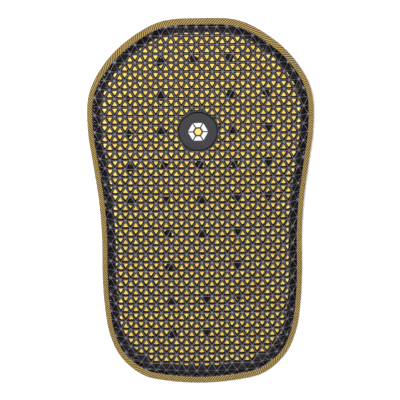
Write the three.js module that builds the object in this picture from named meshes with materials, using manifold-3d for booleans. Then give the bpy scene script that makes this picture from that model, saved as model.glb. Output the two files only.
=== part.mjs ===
// A soft back protector: a perforated foam core under a rubber net of triangles,
// laid on a backing sheet, bound round the edge with folded tape, with a round badge.
// Millimetres, +Z up. It rests on its hollow back, with its upper end toward +Y.

import * as THREE from 'three';
import { mergeVertices } from 'three/addons/utils/BufferGeometryUtils.js';
import Module from 'manifold-3d';

const wasm = await Module();
wasm.setup();

// Size of the whole pad, measured along its curved surface
const LENGTH = 443;
const CHEST_WIDTH = 268.2;

// How the pad is curved: an arch along it, highest toward the upper end, and one across it
const ARCH_HEIGHT = 12;
const ARCH_LEAN = 0.62;
const ARCH_FULLNESS = 1.6;
const CROSS_RADIUS = 1800;

// Layers, from the back to the front
const BACK_THICKNESS = 2.5;
const FOAM_THICKNESS = 7;
const FOAM_EDGE_THICKNESS = 1;
const NET_THICKNESS = 5;
const NET_EDGE_THICKNESS = 2.5;
const LAYER_GAP = 0.3;

// Edge tape, folded over both sheets
const TAPE_WIDTH = 7.6;
const TAPE_WALL = 1.4;
const TAPE_ROUNDING = 2.6;

// Bands of the border, from the tape inward: a flat strip of net, its climb up the foam's
// edge, and the foam's sloping rim
const STRIP_WIDTH = 1.4;
const CLIMB_WIDTH = 1.5;
const RIM_WIDTH = 9.5;

// Net: a lattice of ribs, on every third rib line of the fine net, with whole gaps only
// where their corners lie far enough inside the foam's edge. The lattice is turned a little
// against the pad, about one of its hubs
const NET_PITCH = 12;
const RIB_LINES_PER_GAP = 3;
const RIB_WIDTH = 4;
const NET_TURN = THREE.MathUtils.degToRad(0.66);
const NET_HUB = { across: 6.69, down: 155.78 };
const GAP_MARGIN = 4.5;

// Vent holes through the foam, on a nearly square grid turned a little against the pad
const VENT_DIAMETER = 9.6;
const VENT_PITCH = { across: 40.8, down: 41.1 };
const VENT_TURN = THREE.MathUtils.degToRad(2);
const VENT_CENTRE = { across: -1.2, down: 213 };
const VENT_SIDES = 7;

// Which vents are there, row by row from the upper end: 1 for a hole, 0 for none
const VENT_CHART = [
  { row: -4, holes: [0, 1, 1, 1, 0] },
  { row: -3, holes: [1, 1, 0, 1, 1] },
  { row: -2, holes: [1, 1, 0, 1, 1] },
  { row: -1, holes: [1, 1, 1, 1, 1] },
  { row: 0, holes: [1, 1, 1, 1, 1] },
  { row: 1, holes: [0, 1, 1, 1, 0] },
  { row: 2, holes: [0, 1, 0, 1, 0] },
  { row: 3, holes: [0, 1, 1, 1, 0] },
  { row: 4, holes: [0, 1, 1, 1, 0] },
];

// Badge, seated in a round opening of the net
const BADGE_DIAMETER = 46;
const BADGE_PLACE = { across: -3.78, down: 131.76 };
const BADGE_PROUD = 0.8;
const BADGE_BEVEL = 1.2;
const BADGE_SEAT_GAP = 0.3;
const COLLAR_WIDTH = 3;

// Fineness of the meshes
const SPOKES = 48;
const CURVE_STEPS = 24;
const PROFILE_STEPS = 400;
const BADGE_SIDES = 36;

// Half of the outline, from the upper end to the lower one: down is a share of the length,
// out a share of half the chest width
const OUTLINE = [
  { down: 0, out: 0 },
  { down: 0.008, out: 0.344 },
  { down: 0.056, out: 0.635 },
  { down: 0.12, out: 0.846 },
  { down: 0.199, out: 0.979 },
  { down: 0.294, out: 0.993 },
  { down: 0.391, out: 0.95 },
  { down: 0.489, out: 0.906 },
  { down: 0.588, out: 0.886 },
  { down: 0.69, out: 0.887 },
  { down: 0.774, out: 0.874 },
  { down: 0.857, out: 0.834 },
  { down: 0.925, out: 0.734 },
  { down: 0.975, out: 0.545 },
  { down: 0.993, out: 0.31 },
  { down: 1, out: 0 },
];

// The centre line that the inner rings of the layers close on
const CENTRE_LINE = { start: 0.3, end: 0.76 };
const INNER_RINGS = [0.5, 1];

// Where rings lie on the foam's sloping rim, as shares of its width
const RIM_SHARES = [0, 0.5, 1];

// Points closer than this are one point
const WELD = 1e-4;

// Rounds of rocking the pad until both of its ends touch the floor
const ROCKING_ROUNDS = 6;

// Distances inward from the outer edge of the tape
const sheetInset = TAPE_WALL + LAYER_GAP;
const lapInset = TAPE_WIDTH + STRIP_WIDTH;
const foamInset = lapInset + CLIMB_WIDTH;
const shoulderInset = foamInset + RIM_WIDTH;

const smooth = THREE.MathUtils.smoothstep;
const lerp = THREE.MathUtils.lerp;

// Height of the arch at a distance down the pad, and its slope there
function archHeight(down) {
  const share = THREE.MathUtils.clamp(down / LENGTH, 0, 1);
  return ARCH_HEIGHT * Math.sin(Math.PI * share ** ARCH_LEAN) ** ARCH_FULLNESS;
}

function archSlope(down) {
  const step = LENGTH / PROFILE_STEPS;
  const above = archHeight(Math.min(down + step / 2, LENGTH));
  const below = archHeight(Math.max(down - step / 2, 0));
  return Math.asin(THREE.MathUtils.clamp((above - below) / step, -1, 1));
}

// Distance run along Y from the upper end, for each step down the pad
const runs = [0];
for (let i = 0; i < PROFILE_STEPS; i += 1) {
  const step = LENGTH / PROFILE_STEPS;
  runs.push(runs[i] + step * Math.cos(archSlope((i + 0.5) * step)));
}

function runAt(down) {
  const place = THREE.MathUtils.clamp(down / LENGTH, 0, 1) * PROFILE_STEPS;
  const index = Math.min(Math.floor(place), PROFILE_STEPS - 1);
  return lerp(runs[index], runs[index + 1], place - index);
}

// The point at a height over the back of the pad, from its place across and down
function onPad(across, down, height) {
  const turn = across / CROSS_RADIUS;
  const slope = archSlope(down);
  const reach = CROSS_RADIUS + height;
  const lift = reach * Math.cos(turn) - CROSS_RADIUS;
  return new THREE.Vector3(
    reach * Math.sin(turn),
    lift * Math.sin(slope) - runAt(down),
    lift * Math.cos(slope) + archHeight(down),
  );
}

// The outline at evenly spaced spokes, each with its inward direction
function outlineSpokes() {
  const right = OUTLINE.map((p) => [p.out * CHEST_WIDTH / 2, p.down * LENGTH]);
  const left = right.slice(1, -1).reverse().map(([across, down]) => [-across, down]);
  const points = [...right, ...left].map(([across, down]) => new THREE.Vector3(across, down, 0));
  const curve = new THREE.CatmullRomCurve3(points, true, 'catmullrom', 0.5);
  curve.arcLengthDivisions = points.length * CURVE_STEPS;
  const spokes = [];
  for (let i = 0; i <= SPOKES / 2; i += 1) {
    const share = i / SPOKES;
    const point = curve.getPointAt(share);
    const tangent = curve.getTangentAt(share);
    spokes.push({ across: point.x, down: point.y, inX: -tangent.y, inY: tangent.x });
  }
  const ends = [spokes[0], spokes[SPOKES / 2]];
  ends.forEach((end, i) => Object.assign(end, { across: 0, inX: 0, inY: 1 - 2 * i }));
  const mirrored = spokes.slice(1, -1).reverse();
  return [...spokes, ...mirrored.map((s) => ({ ...s, across: -s.across, inX: -s.inX }))];
}

const spokes = outlineSpokes();

function insetPoint(spoke, inset) {
  return { across: spoke.across + spoke.inX * inset, down: spoke.down + spoke.inY * inset };
}

// A ring of the mesh: insets up to the shoulder, then shares of the way to the centre line
function ringPoint(spoke, ring) {
  const edge = insetPoint(spoke, ring.inset);
  const down = THREE.MathUtils.clamp(edge.down, CENTRE_LINE.start * LENGTH, CENTRE_LINE.end * LENGTH);
  return { across: lerp(edge.across, 0, ring.inward), down: lerp(edge.down, down, ring.inward) };
}

// Rings inside the shoulder use every second spoke
function ringsFrom(insets) {
  const outer = insets.map((inset) => ({ inset, inward: 0, stride: 1 }));
  const inner = INNER_RINGS.map((inward) => ({ inset: shoulderInset, inward, stride: 2 }));
  return [...outer, ...inner];
}

// Insets of the rings on the foam's sloping rim
const rimInsets = RIM_SHARES.map((share) => foamInset + share * RIM_WIDTH);

// Heights of the layers at an inset
function shoulder(inset) {
  return smooth(inset, foamInset, shoulderInset);
}

const foamFloor = BACK_THICKNESS + LAYER_GAP;

function foamTop(inset) {
  return foamFloor + lerp(FOAM_EDGE_THICKNESS, FOAM_THICKNESS, shoulder(inset));
}

function netFloor(inset) {
  return inset < foamInset ? foamFloor : foamTop(inset) + LAYER_GAP;
}

function netTop(inset) {
  return netFloor(inset) + lerp(NET_EDGE_THICKNESS, NET_THICKNESS, shoulder(inset));
}

// Mesh helpers: a list of triangles becomes a closed solid
function solidFromTriangles(triangles) {
  const kept = triangles.filter(([a, b, c]) => {
    const shortest = Math.min(a.distanceTo(b), b.distanceTo(c), c.distanceTo(a));
    return shortest > WELD;
  });
  const positions = kept.flatMap((corners) => corners.flatMap((p) => [p.x, p.y, p.z]));
  const soup = new THREE.BufferGeometry();
  soup.setAttribute('position', new THREE.Float32BufferAttribute(positions, 3));
  return solidFromGeometry(soup);
}

function solidFromGeometry(source) {
  const bare = source.clone();
  bare.deleteAttribute('normal');
  bare.deleteAttribute('uv');
  const merged = mergeVertices(bare, WELD);
  const corners = [];
  for (let i = 0; i < merged.index.count; i += 3) {
    const [a, b, c] = [0, 1, 2].map((k) => merged.index.getX(i + k));
    if (a !== b && b !== c && c !== a) corners.push(a, b, c);
  }
  return new wasm.Manifold(new wasm.Mesh({
    numProp: 3,
    vertProperties: Float32Array.from(merged.attributes.position.array),
    triVerts: Uint32Array.from(corners),
  }));
}

function geometryFromSolid(solid) {
  const { vertProperties, triVerts } = solid.getMesh();
  const geometry = new THREE.BufferGeometry();
  geometry.setAttribute('position', new THREE.Float32BufferAttribute(vertProperties, 3));
  geometry.setIndex(Array.from(triVerts));
  geometry.computeVertexNormals();
  return geometry;
}

function quad(a, b, c, d) {
  return [[a, b, c], [a, c, d]];
}

// The faces between two neighbouring rings, from one spoke of the inner ring to its next
function bandFaces(outer, inner, i, [outerStride, innerStride]) {
  const next = (i + innerStride) % SPOKES;
  if (outerStride === innerStride) return quad(outer[i], inner[i], inner[next], outer[next]);
  const between = i + outerStride;
  return [
    [outer[i], inner[i], outer[between]],
    [outer[between], inner[i], inner[next]],
    [outer[between], inner[next], outer[next]],
  ];
}

// A layer of the pad: rings of points over and under, closed round the outer edge
function layerSolid(rings, floorAt, topAt) {
  const surface = (heightAt) => rings.map((ring) => spokes.map((spoke) => {
    const { across, down } = ringPoint(spoke, ring);
    return onPad(across, down, heightAt(ring.inset));
  }));
  const under = surface(floorAt);
  const over = surface(topAt);
  const triangles = [];
  const flipped = (faces) => faces.map(([a, b, c]) => [c, b, a]);
  for (let i = 0; i < SPOKES; i += 1) {
    const next = (i + 1) % SPOKES;
    triangles.push(...quad(over[0][i], over[0][next], under[0][next], under[0][i]));
  }
  for (let r = 0; r + 1 < rings.length; r += 1) {
    const strides = [rings[r].stride, rings[r + 1].stride];
    for (let i = 0; i < SPOKES; i += strides[1]) {
      triangles.push(...bandFaces(over[r], over[r + 1], i, strides));
      triangles.push(...flipped(bandFaces(under[r], under[r + 1], i, strides)));
    }
  }
  return solidFromTriangles(triangles);
}

// A prism through every layer, over a polygon given across and down the pad
function prismThrough(polygon) {
  const reach = BACK_THICKNESS + FOAM_THICKNESS + 2 * NET_THICKNESS;
  const low = polygon.map(([across, down]) => onPad(across, down, -reach));
  const high = polygon.map(([across, down]) => onPad(across, down, 2 * reach));
  const triangles = [];
  for (let i = 0; i < polygon.length; i += 1) {
    const next = (i + 1) % polygon.length;
    triangles.push(...quad(low[i], high[i], high[next], low[next]));
    if (i > 0 && i + 1 < polygon.length) {
      triangles.push([low[0], low[i], low[i + 1]]);
      triangles.push([high[0], high[i + 1], high[i]]);
    }
  }
  return solidFromTriangles(triangles);
}

function roundPolygon(centre, radius, sides) {
  return Array.from({ length: sides }, (_, i) => {
    const angle = 2 * Math.PI * (i + 0.5) / sides;
    return [centre.across + radius * Math.cos(angle), centre.down + radius * Math.sin(angle)];
  });
}

// How far a place lies inside the outline, measured from the nearest spoke
function insideDepth(across, down) {
  const away = (spoke) => Math.hypot(across - spoke.across, down - spoke.down);
  const nearest = spokes.reduce((best, spoke) => (away(spoke) < away(best) ? spoke : best));
  return (across - nearest.across) * nearest.inX + (down - nearest.down) * nearest.inY;
}

// The net's triangular gaps, each between three rib lines
function netGaps() {
  const pitch = NET_PITCH * RIB_LINES_PER_GAP;
  const rowHeight = pitch * Math.sqrt(3) / 2;
  const centreToRib = rowHeight / 3;
  const shrink = 1 - RIB_WIDTH / 2 / centreToRib;
  const rows = Math.ceil(LENGTH / rowHeight);
  const columns = Math.ceil(CHEST_WIDTH / pitch);
  const gaps = [];
  const onLattice = ([side, foot]) => [
    NET_HUB.across + side * Math.cos(NET_TURN) - foot * Math.sin(NET_TURN),
    NET_HUB.down + side * Math.sin(NET_TURN) + foot * Math.cos(NET_TURN),
  ];
  const addGap = (...places) => {
    const corners = places.map(onLattice);
    const inside = corners.every(([across, down]) => insideDepth(across, down) > foamInset + GAP_MARGIN);
    if (!inside) return;
    const middle = [0, 1].map((k) => (corners[0][k] + corners[1][k] + corners[2][k]) / 3);
    gaps.push(corners.map((corner) => corner.map((value, k) => lerp(middle[k], value, shrink))));
  };
  for (let row = -rows; row <= rows; row += 1) {
    const top = row * rowHeight;
    for (let column = -columns; column <= columns; column += 1) {
      const side = (column + (row % 2 === 0 ? 0 : 0.5)) * pitch;
      const foot = top + rowHeight;
      addGap([side, top], [side + pitch, top], [side + pitch / 2, foot]);
      addGap([side + pitch, top], [side + 1.5 * pitch, foot], [side + pitch / 2, foot]);
    }
  }
  return gaps;
}

// The vents' places on their turned grid
function ventPlaces() {
  const places = [];
  for (const { row, holes } of VENT_CHART) {
    holes.forEach((hole, column) => {
      if (hole === 0) return;
      const sideways = (column - (holes.length - 1) / 2) * VENT_PITCH.across;
      const downward = row * VENT_PITCH.down;
      places.push({
        across: VENT_CENTRE.across + sideways * Math.cos(VENT_TURN) + downward * Math.sin(VENT_TURN),
        down: VENT_CENTRE.down - sideways * Math.sin(VENT_TURN) + downward * Math.cos(VENT_TURN),
      });
    });
  }
  return places.filter(({ across, down }) => insideDepth(across, down) > shoulderInset + VENT_DIAMETER / 2);
}

// Pieces
function backSheet() {
  const insets = [sheetInset, foamInset, shoulderInset];
  return layerSolid(ringsFrom(insets), () => 0, () => BACK_THICKNESS);
}

function foamCore() {
  const slab = layerSolid(ringsFrom(rimInsets), () => foamFloor, foamTop);
  const ventAt = (place) => prismThrough(roundPolygon(place, VENT_DIAMETER / 2, VENT_SIDES));
  return ventPlaces().map(ventAt).reduce((solid, vent) => solid.subtract(vent), slab);
}

function net() {
  const slab = layerSolid(ringsFrom([sheetInset, lapInset, ...rimInsets]), netFloor, netTop);
  const seatRadius = BADGE_DIAMETER / 2 + BADGE_SEAT_GAP;
  const collar = prismThrough(roundPolygon(BADGE_PLACE, seatRadius + COLLAR_WIDTH, BADGE_SIDES));
  const seat = prismThrough(roundPolygon(BADGE_PLACE, seatRadius, BADGE_SIDES));
  const gaps = netGaps().map((corners) => prismThrough(corners).subtract(collar));
  return gaps.reduce((solid, gap) => solid.subtract(gap), slab).subtract(seat);
}

// Section of the tape: inset from the outer edge and height, round the fold and back inside
function tapeSection() {
  const low = -LAYER_GAP - TAPE_WALL;
  const high = netTop(0) + LAYER_GAP + TAPE_WALL;
  const middle = (low + high) / 2;
  const fold = sheetInset - LAYER_GAP;
  const cut = TAPE_ROUNDING * (1 - Math.SQRT1_2);
  return [
    [TAPE_WIDTH, low], [TAPE_WIDTH, low + TAPE_WALL], [fold, low + TAPE_WALL],
    [fold, high - TAPE_WALL], [TAPE_WIDTH, high - TAPE_WALL], [TAPE_WIDTH, high],
    [TAPE_ROUNDING, high], [cut, high - cut], [0, high - TAPE_ROUNDING], [0, middle],
    [0, low + TAPE_ROUNDING], [cut, low + cut], [TAPE_ROUNDING, low],
  ];
}

function edgeTape() {
  const section = tapeSection();
  const points = spokes.map((spoke) => section.map(([inset, height]) => {
    const { across, down } = insetPoint(spoke, inset);
    return onPad(across, down, height);
  }));
  const triangles = [];
  for (let i = 0; i < SPOKES; i += 1) {
    const next = (i + 1) % SPOKES;
    for (let k = 0; k < section.length; k += 1) {
      const far = (k + 1) % section.length;
      triangles.push(...quad(points[i][k], points[next][k], points[next][far], points[i][far]));
    }
  }
  return solidFromTriangles(triangles);
}

// The badge, turned about its own axis, with its underside at height 0
function badge() {
  const radius = BADGE_DIAMETER / 2;
  const height = NET_THICKNESS + BADGE_PROUD;
  const profile = [
    [0, 0], [radius, 0], [radius, height - BADGE_BEVEL], [radius - BADGE_BEVEL, height], [0, height],
  ];
  const lathe = new THREE.LatheGeometry(profile.map(([x, y]) => new THREE.Vector2(x, y)), BADGE_SIDES);
  return solidFromGeometry(lathe);
}

function makeMesh(name, solid, colour, roughness) {
  const material = new THREE.MeshStandardMaterial({ color: colour, roughness, metalness: 0 });
  const mesh = new THREE.Mesh(geometryFromSolid(solid), material);
  mesh.name = name;
  return mesh;
}

// The lean at which the lowest point of the upper half and of the lower half touch the floor
function restingLean(meshes) {
  const points = meshes.flatMap((mesh) => {
    const position = mesh.geometry.attributes.position;
    return Array.from({ length: position.count }, (_, i) => [position.getY(i), position.getZ(i)]);
  });
  const middle = -runAt(LENGTH) / 2;
  let lean = 0;
  for (let round = 0; round < ROCKING_ROUNDS; round += 1) {
    const heightOf = ([y, z]) => y * Math.sin(lean) + z * Math.cos(lean);
    const lowest = (half) => half.reduce((a, b) => (heightOf(b) < heightOf(a) ? b : a));
    const upper = lowest(points.filter(([y]) => y > middle));
    const lower = lowest(points.filter(([y]) => y <= middle));
    lean = -Math.atan2(upper[1] - lower[1], upper[0] - lower[0]);
  }
  return lean;
}

const tapeMesh = makeMesh('edge_tape', edgeTape(), 0xb08c3a, 0.85);
const backMesh = makeMesh('back_sheet', backSheet(), 0x1c1b1f, 0.8);
const foamMesh = makeMesh('foam_core', foamCore(), 0xe6c659, 0.9);
const netMesh = makeMesh('net', net(), 0x3a383f, 0.5);
const badgeMesh = makeMesh('badge', badge(), 0x45434c, 0.6);

// The badge stands on the foam, along the pad's normal there
const seatPoint = onPad(BADGE_PLACE.across, BADGE_PLACE.down, netFloor(shoulderInset));
const topPoint = onPad(BADGE_PLACE.across, BADGE_PLACE.down, netTop(shoulderInset));
badgeMesh.position.copy(seatPoint);
badgeMesh.quaternion.setFromUnitVectors(new THREE.Vector3(0, 1, 0), topPoint.sub(seatPoint).normalize());

const pad = new THREE.Group();
pad.add(backMesh, foamMesh, netMesh, tapeMesh, badgeMesh);
pad.rotation.x = restingLean([backMesh, tapeMesh]);

const group = new THREE.Group();
group.add(pad);
group.updateMatrixWorld(true);
const box = new THREE.Box3().setFromObject(group, true);
const centre = box.getCenter(new THREE.Vector3());
pad.position.set(-centre.x, -centre.y, -box.min.z);

export default group;
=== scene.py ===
# A soft back protector: yellow foam with vent holes under a rubber net of triangular pockets,
# on black backing cloth, bound round the edge with golden twill tape, with a round badge.
# Sizes are in millimetres on the pad's own surface; meshes are placed in metres.

import math

import bmesh
import bpy
import numpy as np
from mathutils import Matrix, Vector


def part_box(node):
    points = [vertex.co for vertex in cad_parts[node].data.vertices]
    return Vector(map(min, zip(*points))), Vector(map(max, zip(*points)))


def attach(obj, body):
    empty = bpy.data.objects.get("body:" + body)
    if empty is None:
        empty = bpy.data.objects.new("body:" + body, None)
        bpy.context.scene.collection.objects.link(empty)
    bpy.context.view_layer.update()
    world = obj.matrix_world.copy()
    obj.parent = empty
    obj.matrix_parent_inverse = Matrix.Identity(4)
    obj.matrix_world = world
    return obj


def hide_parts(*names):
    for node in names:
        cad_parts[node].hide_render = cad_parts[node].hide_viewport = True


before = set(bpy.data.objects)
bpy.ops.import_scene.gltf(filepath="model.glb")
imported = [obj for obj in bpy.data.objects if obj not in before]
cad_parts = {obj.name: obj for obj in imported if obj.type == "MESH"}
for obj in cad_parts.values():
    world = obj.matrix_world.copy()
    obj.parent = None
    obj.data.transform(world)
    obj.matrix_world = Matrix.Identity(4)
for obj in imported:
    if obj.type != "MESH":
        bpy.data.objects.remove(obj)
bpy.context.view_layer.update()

MM = 0.001

# The pad, measured along its curved surface
LENGTH = 443
CHEST_WIDTH = 268.2

# The arch along the pad and the one across it
ARCH_HEIGHT = 12
ARCH_LEAN = 0.62
ARCH_FULLNESS = 1.6
CROSS_RADIUS = 1800

# Layers, from the back to the front
BACK_THICKNESS = 2.5
FOAM_THICKNESS = 7
FOAM_EDGE_THICKNESS = 1
NET_THICKNESS = 5
NET_EDGE_THICKNESS = 2.5
LAYER_GAP = 0.3

# Edge tape, folded over both sheets
TAPE_WIDTH = 7.6
TAPE_WALL = 1.4
TAPE_ROUNDING = 2.6
TAPE_SIDE_NARROWING = 1.3
TAPE_LIP = [(0, 0.95), (0.12, 0.4), (0.5, 0.08)]
TAPE_LAP = (6.2, 5, 3.8)

# Bands of the border, from the tape inward
STRIP_WIDTH = 1.4
CLIMB_WIDTH = 1.5
RIM_WIDTH = 9.5
SHEET_INSET = TAPE_WALL + LAYER_GAP
LAP_INSET = TAPE_WIDTH + STRIP_WIDTH
FOAM_INSET = LAP_INSET + CLIMB_WIDTH
SHOULDER_INSET = FOAM_INSET + RIM_WIDTH
FOAM_FLOOR = BACK_THICKNESS + LAYER_GAP

# The net's lattice: hubs on rows, turned a little about one hub
NET_PITCH = 12
NET_TURN = math.radians(0.66)
NET_HUB = (6.69, 155.78)
ROW_HEIGHT = NET_PITCH * math.sqrt(3) / 2
NET_CUT_INSET = 5.2
BLIND_FLOOR_INSET = 16.4
BLIND_FLOOR_HEIGHT = 1.1
FLOOR_OVERHANG = 2
POCKET_WELD = 0.02
TOP_FLOOR_EXTRA = 0.6
TOP_FLOOR_SPAN = (0.9, 1)
FOOT_FLOOR_EXTRA = 6.8
FOOT_FLOOR_SPAN = (0.86, 0.96)

# Vent holes through the foam, row by row from the upper end: 1 for a hole, 0 for none
VENT_DIAMETER = 9.6
VENT_PITCH = (40.8, 41.1)
VENT_TURN = math.radians(2)
VENT_CENTRE = (-1.2, 213)
VENT_FIRST_ROW = -4
VENT_CHART = [
    (0, 1, 1, 1, 0),
    (1, 1, 0, 1, 1),
    (1, 1, 0, 1, 1),
    (1, 1, 1, 1, 1),
    (1, 1, 1, 1, 1),
    (0, 1, 1, 1, 0),
    (0, 1, 0, 1, 0),
    (0, 1, 1, 1, 0),
    (0, 1, 1, 1, 0),
]

# Badge, seated in a round opening of the net
BADGE_DIAMETER = 46
BADGE_PLACE = (-3.78, 131.76)
BADGE_PROUD = 0.8
BADGE_FOOT = 0.5
BADGE_SEAT_GAP = 0.3
COLLAR_WIDTH = 1.7
COLLAR_DROP = 1.1
# Painted shade: the foam is painted black out to this radius from the badge's axis, under the badge and
# in the gap round it
SEAT_SHADE_RADIUS = 23.8

# Half of the outline, from the upper end: share of the length, share of half the chest width
OUTLINE = [
    (0, 0), (0.008, 0.344), (0.056, 0.635), (0.12, 0.846), (0.199, 0.979), (0.294, 0.993),
    (0.391, 0.95), (0.489, 0.906), (0.588, 0.886), (0.69, 0.887), (0.774, 0.874),
    (0.857, 0.834), (0.925, 0.734), (0.975, 0.545), (0.993, 0.31), (1, 0),
]
CENTRE_LINE = (0.3, 0.76)

# Fineness of the meshes
PROFILE_STEPS = 400
CURVE_STEPS = 64
STATIONS = 1200
PLATE_SPOKES = 240
CUT_SIDES = 600
SEAT_SIDES = 96
VENT_SIDES = 28
BADGE_SIDES = 128
FOAM_RIM_RINGS = (0, 0.04, 0.12, 0.25, 0.4, 0.55, 0.7, 0.85, 1)
FOAM_RINGS = (0.05, 0.15, 0.28, 0.42, 0.56, 0.7, 0.85, 1)
BACK_RINGS = (0.08, 0.2, 0.35, 0.5, 0.66, 0.83, 1)
SHEET_EDGE = 0.3
LEAN_PASSES = 6
WELD = 0.001


# The pad's surface

def smooth(value, low, high):
    share = np.clip((value - low) / (high - low), 0, 1)
    return share * share * (3 - 2 * share)


def arch_height(down):
    share = np.clip(np.asarray(down, float) / LENGTH, 0, 1)
    swell = np.maximum(np.sin(np.pi * share ** ARCH_LEAN), 0)
    return ARCH_HEIGHT * swell ** ARCH_FULLNESS


def arch_slope(down):
    step = LENGTH / PROFILE_STEPS
    above = arch_height(np.minimum(down + step / 2, LENGTH))
    below = arch_height(np.maximum(down - step / 2, 0))
    return np.arcsin(np.clip((above - below) / step, -1, 1))


STEP_EDGES = np.linspace(0, LENGTH, PROFILE_STEPS + 1)
STEP_MIDDLES = (STEP_EDGES[1:] + STEP_EDGES[:-1]) / 2
RUNS = np.concatenate([[0], np.cumsum(np.cos(arch_slope(STEP_MIDDLES)) * LENGTH / PROFILE_STEPS)])


def on_pad(across, down, height):
    """Points over the pad's back, in the pad's own unleaned frame."""
    turn = across / CROSS_RADIUS
    slope = arch_slope(down)
    reach = CROSS_RADIUS + height
    lift = reach * np.cos(turn) - CROSS_RADIUS
    run = np.interp(down, STEP_EDGES, RUNS)
    return np.stack([
        reach * np.sin(turn),
        lift * np.sin(slope) - run,
        lift * np.cos(slope) + arch_height(down),
    ], -1)


def closed_curve(points, steps):
    """A smooth closed curve through the points."""
    share = np.linspace(0, 1, steps, endpoint=False)[:, None]
    pieces = []
    for i, start in enumerate(points):
        before = points[i - 1]
        end = points[(i + 1) % len(points)]
        after = points[(i + 2) % len(points)]
        leave = (end - before) / 2
        arrive = (after - start) / 2
        pieces.append(
            (2 * share**3 - 3 * share**2 + 1) * start
            + (share**3 - 2 * share**2 + share) * leave
            + (3 * share**2 - 2 * share**3) * end
            + (share**3 - share**2) * arrive
        )
    return np.concatenate(pieces)


def outline_loop():
    right = np.array([(out * CHEST_WIDTH / 2, down * LENGTH) for down, out in OUTLINE])
    left = right[1:-1][::-1] * (-1, 1)
    curve = closed_curve(np.concatenate([right, left]), CURVE_STEPS)
    return np.vstack([curve, curve[:1]])


LOOP = outline_loop()
LOOP_ARC = np.concatenate([[0], np.cumsum(np.hypot(*np.diff(LOOP, axis=0).T))])
PERIMETER = LOOP_ARC[-1]


def round_arc(count):
    """Arc lengths at even steps round the outline."""
    return np.arange(count) * PERIMETER / count


def outline_at(arc):
    """Place and inward direction on the outline, by arc length clockwise from the upper end."""
    def place(where):
        where = np.mod(where, PERIMETER)
        return np.stack([np.interp(where, LOOP_ARC, LOOP[:, k]) for k in (0, 1)], -1)
    near = 0.8
    tangent = place(arc + near) - place(arc - near)
    tangent /= np.linalg.norm(tangent, axis=-1, keepdims=True)
    inward = np.stack([-tangent[..., 1], tangent[..., 0]], -1)
    return place(arc), inward


def inset_place(arc, inset):
    place, inward = outline_at(arc)
    return place + inward * np.asarray(inset)[..., None]


STATION_PLACE, STATION_INWARD = outline_at(round_arc(STATIONS))


def depth_inside(across, down):
    """How far places lie inside the outline."""
    places = np.stack([across, down], -1)
    depth = np.empty(len(places))
    block = 4000
    for start in range(0, len(places), block):
        part = places[start:start + block]
        away = ((part[:, None] - STATION_PLACE[None]) ** 2).sum(-1)
        nearest = away.argmin(1)
        offset = part - STATION_PLACE[nearest]
        depth[start:start + block] = (offset * STATION_INWARD[nearest]).sum(1)
    return depth


# Heights of the layers over the pad's back, by how far inside the outline they lie

def foam_top(depth):
    rise = smooth(depth, FOAM_INSET, SHOULDER_INSET)
    return FOAM_FLOOR + FOAM_EDGE_THICKNESS + (FOAM_THICKNESS - FOAM_EDGE_THICKNESS) * rise


def level(height):
    """A layer's face that lies at one height all over."""
    return lambda depth: np.full_like(depth, height)


def net_floor(depth):
    climb = smooth(depth, LAP_INSET, FOAM_INSET)
    return FOAM_FLOOR + climb * (foam_top(depth) + LAYER_GAP - FOAM_FLOOR)


def net_top(depth):
    rise = smooth(depth, FOAM_INSET, SHOULDER_INSET)
    return net_floor(depth) + NET_EDGE_THICKNESS + (NET_THICKNESS - NET_EDGE_THICKNESS) * rise


# How the pad rests: leaned about X until both halves touch the floor

def tape_outer_path():
    """The tape's outer face: inset and height, from the upper lap round the fold to the lower."""
    low = -LAYER_GAP - TAPE_WALL
    high = FOAM_FLOOR + NET_EDGE_THICKNESS + LAYER_GAP + TAPE_WALL
    lip = [(TAPE_WIDTH - back, high - drop) for back, drop in TAPE_LIP]
    lap = [(inset, high) for inset in TAPE_LAP]
    turn = np.radians(np.linspace(0, 90, 5))
    fold = [(TAPE_ROUNDING * (1 - math.sin(a)), high - TAPE_ROUNDING * (1 - math.cos(a))) for a in turn]
    upper = lip + lap + fold
    lower = [(inset, low + high - height) for inset, height in upper[::-1]]
    return np.array(upper + lower)


def leaned(points, lean):
    across, along, height = points.T
    return np.stack([
        across,
        along * math.cos(lean) - height * math.sin(lean),
        along * math.sin(lean) + height * math.cos(lean),
    ], -1)


def resting_lean(points):
    middle = -RUNS[-1] / 2
    upper = points[points[:, 1] > middle]
    lower = points[points[:, 1] <= middle]
    lean = 0.0
    for _ in range(LEAN_PASSES):
        top_foot = upper[leaned(upper, lean)[:, 2].argmin()]
        low_foot = lower[leaned(lower, lean)[:, 2].argmin()]
        lean = -math.atan2(top_foot[2] - low_foot[2], top_foot[1] - low_foot[1])
    return lean


def tape_hull():
    points = []
    for inset, height in tape_outer_path():
        place = STATION_PLACE + STATION_INWARD * inset
        points.append(on_pad(place[:, 0], place[:, 1], height))
    return np.concatenate(points)


HULL = tape_hull()
LEAN = resting_lean(HULL)
HULL = leaned(HULL, LEAN)
TAPE_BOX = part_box("edge_tape")
SHIFT = np.array([
    0,
    (TAPE_BOX[0].y + TAPE_BOX[1].y) / 2 / MM - (HULL[:, 1].min() + HULL[:, 1].max()) / 2,
    TAPE_BOX[0].z / MM - HULL[:, 2].min(),
])


def placed(across, down, height):
    """Points in metres in the shared frame."""
    return (leaned(on_pad(across, down, height), LEAN) + SHIFT) * MM


# Mesh helpers. A flat blank lies with its across along X, its down along -Y and its thickness
# along Z, and is bent onto the pad once its holes are cut.

def new_object(name, data):
    obj = bpy.data.objects.new(name, data)
    bpy.context.scene.collection.objects.link(obj)
    return obj


def mesh_from(name, points, faces):
    mesh = bpy.data.meshes.new(name)
    mesh.from_pydata(np.asarray(points).tolist(), [], faces)
    mesh.validate()
    return mesh


def mesh_points(mesh):
    points = np.empty(len(mesh.vertices) * 3)
    mesh.vertices.foreach_get("co", points)
    return points.reshape(-1, 3)


def set_points(mesh, points):
    mesh.vertices.foreach_set("co", points.astype(np.float32).ravel())
    mesh.update()


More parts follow.
